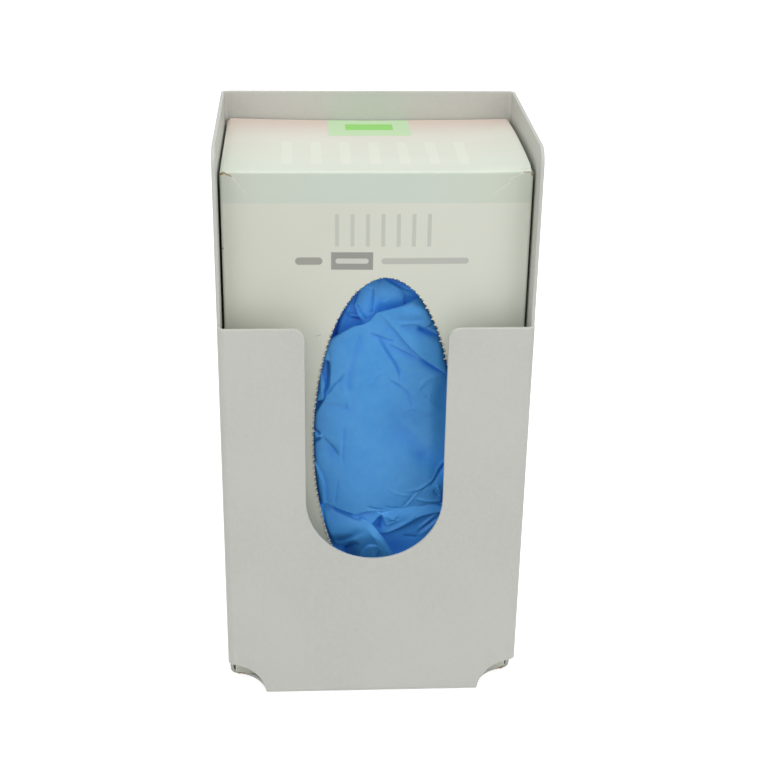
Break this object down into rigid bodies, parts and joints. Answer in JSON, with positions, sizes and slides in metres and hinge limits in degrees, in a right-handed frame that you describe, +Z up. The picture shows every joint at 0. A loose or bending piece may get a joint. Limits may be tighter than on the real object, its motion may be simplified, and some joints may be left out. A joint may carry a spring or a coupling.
{
  "type": "disposable glove dispenser",
  "caption": "Folded sheet-metal wall holder with a slotted, half-height front, holding a board carton of disposable gloves that pull out through its oval opening.",
  "frame": {"origin": "centre of the holder's footprint, on its underside", "axes": "+Z up, +Y towards the wall behind the back panel, +X to the right of someone who faces the slot"},
  "size_m": [0.13, 0.095, 0.255],
  "materials": {
    "painted_sheet": "satin",
    "printed_board": "satin",
    "glove_film": "satin"
  },
  "bodies": {
    "root": {"holder": "painted_sheet", "carton": "printed_board", "glove_stack": "glove_film", "front_glove": "glove_film", "lower_glove": "glove_film"}
  },
  "joints": []
}
